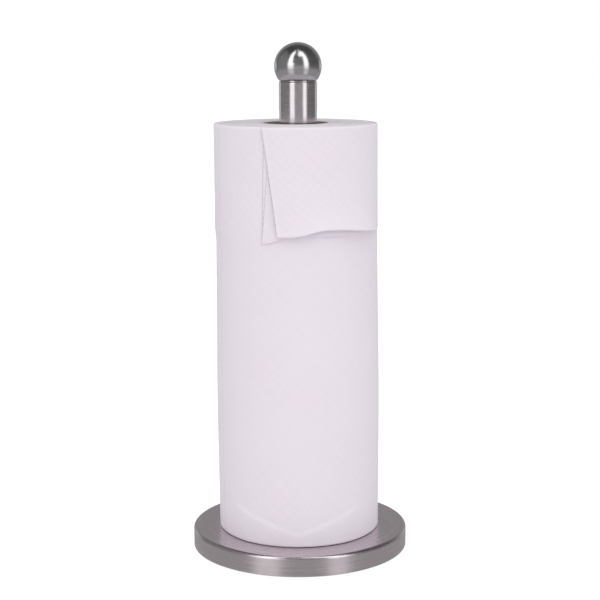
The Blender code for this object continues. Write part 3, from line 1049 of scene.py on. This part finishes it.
roll = {
    "layer": 0.45 * mm,
    "rootDeg": 206.0,
    "columns": 300,
    "rows": 232,
    "rim": 0.4 * mm,
    "endDepth": 1.1 * mm,
    "swellRight": 1.2 * mm,
    "swellAll": 0.7 * mm,
    "girth": 0.1 * mm,
    "shoulder": 0.85 * mm,
    "shoulderDeg": -88.0,
    "shoulderLow": 198 * mm,
    "shoulderSoft": 12 * mm,
    "shoulderSpan": (14, 60),
    "waist": 0.9 * mm,
    "waistHeight": 95 * mm,
    "waistReach": 62 * mm,
    "creaseDepth": 0.65 * mm,
    "creaseWidth": 3.6 * mm,
    "creaseLow": 8.3 * mm,
    "creaseSlope": 0.33 * mm,
    "creaseReach": 56,
    "creaseFade": (34, 60),
    "rimRounding": (0.5 * mm, 1.2 * mm),
    "ripple": 0.22 * mm,
}
tail = {
    # the free edge's angle at the top, at each fold and at the last layer's end
    "freeDegs": (-23.6, -12.6, -18.0, -24.0, -22.5),
    "levelEndDeg": 90.0,
    "flare": 5.6 * mm,
    "flareHeight": 13 * mm,
    "cornerHeight": 34 * mm,
    "layerFlare": (1.0, 0.8, 0.1, 0.05),
    "wave": 4.6 * mm,
    "sag": 5.0 * mm,
    "edgeRise": 0.35 * mm,
    "bulge": 0.4 * mm,
    "sheetGap": 0.3 * mm,
    "sheetThickness": 0.17 * mm,
    "recess": 1.0 * mm,
    "columns": 230,
    # angles from, to, over which each of these comes in or fades out
    "recessRise": (-27, -16),
    "recessFade": (110, 160),
    "unfolding": (88, 106),
    "flareRise": (-10, 24),
    "flareFade": (44, 84),
    "cornerSpan": (-16, 14),
    "frontFade": (45, 95),
    "backRise": (100, 180),
    "waveRise": (-5, 21),
    "waveFade": (19, 80),
}
paperRadius, rollLow, rollHigh, rollX = span("paper_roll")
rollHeight = rollHigh - rollLow
boreRadius = span("core_tube")[0] + 0.3 * mm
cell = math.tau * paperRadius / towel["cells"]


# a diamond lattice of pressed lines with a small dimple in each diamond, from 0 to 1
def emboss(along, height):
    u, v = along / cell, height / cell
    pressed = 0.0
    for slant in (u + v, u - v):
        off = abs(slant - round(slant)) * cell / math.sqrt(2)
        pressed = max(pressed, math.exp(-((off / towel["grooveWidth"]) ** 2)))
    # diamond centres lie where u + v and u - v are both half integers
    a, b = u + v - 0.5, u - v - 0.5
    off = math.hypot(a - round(a), b - round(b)) * cell / math.sqrt(2)
    return max(pressed, 0.8 * math.exp(-((off / towel["dimpleWidth"]) ** 2)))


def wrapDeg(deg):
    return (deg + 180) % 360 - 180


# height of the tail's lower fold above the roll's foot, at an angle from -24 to 206
def foldHeight(deg):
    level = rollHeight * 0.75
    return mix(level, 3 * mm, smooth(tail["levelEndDeg"], roll["rootDeg"] - 2, deg))


def underTail(deg, height):
    side = deg - 360 if deg > 300 else deg
    level = foldHeight(max(side, -24))
    share = smooth(*tail["recessRise"], side) * (1 - smooth(*tail["recessFade"], side))
    share *= smooth(-1 * mm, 9 * mm, height - level)
    return share * (1 - singleLayer(side, height))


# where the sheet is no longer folded: above its folds, round the roll's right and back
def singleLayer(deg, height):
    level = foldHeight(max(deg, -24))
    stackTop = level + max(level / 3, 1 * mm)
    return smooth(stackTop - 1 * mm, stackTop + 6 * mm, height) * smooth(*tail["unfolding"], deg)


# the plain shape of the wound roll, before its embossing
def rollRadius(deg, height):
    side = math.radians(deg)
    turn = ((deg - roll["rootDeg"]) % 360) / 360
    if deg >= roll["rootDeg"] + 360 - 1e-6:
        turn = 1.0
    low = 1 - height / rollHeight
    radius = paperRadius - roll["layer"] * turn
    radius += low * (roll["swellRight"] * math.sin(side) + roll["swellAll"])
    radius += roll["girth"]
    radius += roll["waist"] * math.exp(-(((height - roll["waistHeight"]) / roll["waistReach"]) ** 2))
    off = abs(wrapDeg(deg - roll["shoulderDeg"]))
    step = smooth(roll["shoulderLow"], roll["shoulderLow"] + roll["shoulderSoft"], height)
    radius += roll["shoulder"] * step * (1 - smooth(*roll["shoulderSpan"], off))
    radius -= tail["recess"] * underTail(deg, height)
    front = abs(wrapDeg(deg))
    line = roll["creaseLow"] + roll["creaseSlope"] * min(front, roll["creaseReach"])
    below, width = line - height, roll["creaseWidth"]
    fade = 1 - smooth(*roll["creaseFade"], front)
    ledge = smooth(-width / 2, width / 2, below) * (1 - 0.1 * smooth(width / 2, line + 1 * mm, below))
    radius += roll["creaseDepth"] * fade * ledge
    spot = Vector((math.sin(side) * 1.6, math.cos(side) * 1.6, height * 14))
    radius += roll["ripple"] * noise.noise(spot)
    edge, (drop, tall) = min(height, rollHeight - height), roll["rimRounding"]
    if edge < tall:
        radius -= drop * (1 - edge / tall) ** 2
    return radius


def rollRows():
    columns, rowCount = roll["columns"], roll["rows"]
    first = roll["rootDeg"]
    angles = [first + 360 * j / (columns - 1) for j in range(columns)]
    heights = [rollHeight * i / rowCount for i in range(rowCount + 1)]
    heights += [edge * mm for edge in (0.3, 0.7)] + [rollHeight - edge * mm for edge in (0.3, 0.7)]
    heights.sort()
    rows, relief, marks = [], [], []
    for height in heights:
        row = []
        for deg in angles:
            pressed = emboss(math.radians(deg) * paperRadius, height)
            edge = smooth(0.5 * mm, 3 * mm, min(height, rollHeight - height))
            radius = rollRadius(deg, height) - towel["embossDepth"] * pressed * edge
            row.append(around(rollX, radius, deg, rollLow + height))
            relief.append(pressed * edge)
        rows.append(row)
        marks.append(height)

    def ring(radiusOf, height):
        rows.append([around(rollX, radiusOf(deg), deg, rollLow + height) for deg in angles])
        relief.extend([0.0] * columns)
        marks.append(height)

    rim, deep = roll["rim"], roll["endDepth"]
    for top in (True, False):
        level = rollHeight if top else 0.0
        floor = rollHeight - deep if top else deep
        outer = lambda deg: rollRadius(deg, level)
        rings = [(lambda deg: outer(deg) - rim, level), (lambda deg: outer(deg) - rim - 0.1 * mm, floor)]
        for share in (0.33, 0.67):
            between = lambda deg, share=share: mix(outer(deg) - rim, boreRadius + rim, share)
            rings.append((between, floor))
        for extra, height in ((rim + 0.1 * mm, floor), (rim, level), (0.0, level)):
            rings.append((lambda deg, extra=extra: boreRadius + extra, height))
        for radiusOf, height in rings if top else reversed(rings):
            ring(radiusOf, height)
    return rows, relief, angles, marks


def makeRoll():
    rows, relief, angles, marks = rollRows()
    step = angles[1] - angles[0]

    def uv(i, j):
        return (math.radians(angles[0] + step * j) * paperRadius, marks[i % len(marks)])

    mesh = gridMesh("paper_roll_wound", rows, loop=True, uv=uv)
    # the relief attribute sets the painted shade in the embossed hollows
    markPoints(mesh, "relief", relief)
    give(placeMesh("paper_roll_wound", mesh, towelPaper, 50), "roll", "towel_paper", "paper_roll")


makeRoll()
print("roll wound")


# the cut edges of the wound layers: one flat strip along a spiral, uneven in height
def makeWindingTree():
    inputs = {
        "Inner Radius": 0.02,
        "Outer Radius": 0.05,
        "Layer Pitch": 0.00045,
        "Strip Width": 0.0003,
        "Strip Height": 0.001,
        "Steps": 72,
        "Unevenness": 0.0003,
        "Seed": 4.0,
        "Place": (0.0, 0.0, 0.0),
        "Material": None,
    }
    tree, given, made, keys = startTree("woundEdges", inputs)
    inner, outer = given["Inner Radius"], given["Outer Radius"]
    turns = calc(tree, "DIVIDE", calc(tree, "SUBTRACT", outer, inner), given["Layer Pitch"])
    spiral = addNode(tree, "GeometryNodeCurveSpiral", Resolution=given["Steps"], Rotations=turns)
    plug(tree, spiral, Start_Radius=inner, End_Radius=outer, Height=0.0, Reverse=True)
    strip = tree.nodes.new("GeometryNodeCurvePrimitiveQuadrilateral")
    plug(tree, strip, Width=given["Strip Width"], Height=given["Strip Height"])
    sweep = addNode(tree, "GeometryNodeCurveToMesh", Curve=spiral.outputs[0], Fill_Caps=True)
    plug(tree, sweep, Profile_Curve=strip.outputs[0])

    place = tree.nodes.new("GeometryNodeInputPosition").outputs[0]
    reach = tree.nodes.new("ShaderNodeVectorMath")
    reach.operation = "LENGTH"
    tree.links.new(place, reach.inputs[0])
    x, y, _ = splitXyz(tree, place)
    # quick changes from layer to layer, slow ones round the roll
    layers = times(tree, reach.outputs["Value"], 1600.0)
    spot = joinXyz(tree, layers, times(tree, x, 30.0), times(tree, y, 30.0))
    rough = tree.nodes.new("ShaderNodeTexNoise")
    rough.noise_dimensions = "4D"
    plug(tree, rough, Vector=spot, W=given["Seed"], Scale=1.0)
    swing = calc(tree, "SUBTRACT", rough.outputs[0], 0.5)
    lift = joinXyz(tree, z=times(tree, swing, given["Unevenness"]))
    shift = addNode(tree, "GeometryNodeSetPosition", Geometry=sweep.outputs[0], Offset=lift)
    move = addNode(
        tree, "GeometryNodeTransform", Geometry=shift.outputs[0], Translation=given["Place"]
    )
    endTree(tree, given, made, move.outputs[0])
    return tree, keys


winding = {"stripWidth": 0.3 * mm, "steps": 72, "unevenness": 0.35 * mm}


def makeEnds():
    tree, keys = makeWindingTree()
    deep = roll["endDepth"]
    ends = (("top_edges", rollHigh - deep / 2, 4.0), ("bottom_edges", rollLow + deep / 2, 9.0))
    for name, level, seed in ends:
        piece = grow(
            name,
            tree,
            keys,
            Inner_Radius=boreRadius + roll["rim"] + 0.4 * mm,
            Outer_Radius=paperRadius - tail["recess"] - roll["layer"] - roll["rim"] - 0.6 * mm,
            Layer_Pitch=roll["layer"],
            Strip_Width=winding["stripWidth"],
            Strip_Height=deep,
            Steps=winding["steps"],
            Unevenness=winding["unevenness"],
            Seed=seed,
            Place=(rollX, 0.0, level),
            Material=towelEdges,
        )
        give(piece, "roll", "towel_paper")


makeEnds()
print("roll ends made")


# how far the flap's lower edge is blown outwards, more so at its loose corner
def flapFlare(deg, height):
    reach = mix(0.4, 1.0, smooth(*tail["flareRise"], deg)) * (1 - smooth(*tail["flareFade"], deg))
    tall = mix(tail["cornerHeight"], tail["flareHeight"], smooth(*tail["cornerSpan"], deg))
    drop = max(height - foldHeight(deg), 0.0) / tall
    return tail["flare"] * reach * math.exp(-(drop**1.3))


# distance from the roll's axis for one of the four folded layers, outermost first
def tailRadius(deg, layer, height, along):
    angle = deg if deg >= 0 else deg + 360
    single = singleLayer(deg, height)
    stack = tail["sheetGap"] * (4 - 3 * single)
    front = 1 - smooth(*tail["frontFade"], deg)
    rise = tail["edgeRise"] + tail["bulge"] * smooth(0, 8 * mm, along) * front
    room = rise + tail["recess"] * underTail(angle, height)
    room = mix(max(room, stack * front), stack, smooth(*tail["backRise"], deg))
    spread = (4 - layer * (1 - single)) / 4
    flare = flapFlare(deg, height) * tail["layerFlare"][layer]
    return rollRadius(angle, min(height, rollHeight)) + room * spread + flare


def foldLevels(deg):
    level, top = foldHeight(deg), rollHeight - 0.2 * mm
    wave = tail["wave"] * smooth(*tail["waveRise"], deg) * (1 - smooth(*tail["waveFade"], deg))
    wave -= 0.3 * mm
    back = level - 0.5 * mm - tail["sag"] * (1 - smooth(-25, 0, deg))
    high = min(level + max(level / 3, 1 * mm), top)
    return top, level + wave, high, back, high - 0.6 * mm


# the sheet from its top edge down, up, down and up again, with a small roll at each fold
def tailRows():
    plan = []
    for layer, count in enumerate((72, 20, 20, 20)):
        plan += [("flat", layer, i / count) for i in range(count + 1)]
        if layer < 3:
            plan += [("fold", layer, k / 6) for k in range(1, 6)]
    rows, relief, marks = [], [], []
    for kind, layer, share in plan:
        row = []
        for j in range(tail["columns"]):
            frees = tail["freeDegs"]
            free = mix(frees[layer], frees[layer + 1], share if kind == "flat" else 1.0)
            deg = mix(free, roll["rootDeg"] - 0.2, (j / (tail["columns"] - 1)) ** 1.1)
            stops = foldLevels(deg)
            start, stop = stops[layer], stops[layer + 1]
            along = math.radians(deg - free) * paperRadius
            pressed = 0.0
            if kind == "flat":
                height = mix(start, stop, share)
                edge = min(along, abs(height - stop), abs(height - start))
                pressed = emboss(along + 3 * mm, height + 4 * mm) * smooth(0.5 * mm, 3 * mm, edge)
                radius = tailRadius(deg, layer, height, along)
                radius -= towel["embossDepth"] * pressed * (1.0, 0.3, 0.3, 0.3)[layer]
            else:
                outer = tailRadius(deg, layer, stop, along)
                inner = tailRadius(deg, layer + 1, stop, along)
                half = (outer - inner) / 2
                radius = (outer + inner) / 2 + half * math.cos(math.pi * share)
                way = 1 if layer == 1 else -1
                height = stop + way * half * math.sin(math.pi * share) * 1.1
            row.append(around(rollX, radius, deg, rollLow + height))
            relief.append(pressed)
            marks.append((along, height))
        rows.append(row)
    return rows, relief, marks


def makeTail():
    rows, relief, marks = tailRows()
    columns = tail["columns"]
    uv = lambda i, j: marks[i * columns + j]
    mesh = gridMesh("towel_tail_folded", rows, wrap=False, uv=uv)
    # the relief attribute sets the painted shade in the embossed hollows
    markPoints(mesh, "relief", relief)
    piece = placeMesh("towel_tail_folded", mesh, towelPaper, 60)
    wall = piece.modifiers.new("thickness", "SOLIDIFY")
    wall.thickness = tail["sheetThickness"]
    wall.offset = 0.0
    flatten(piece)
    piece.data.shade_smooth()
    give(piece, "roll", "towel_paper", "towel_tail")


makeTail()
print("tail folded")
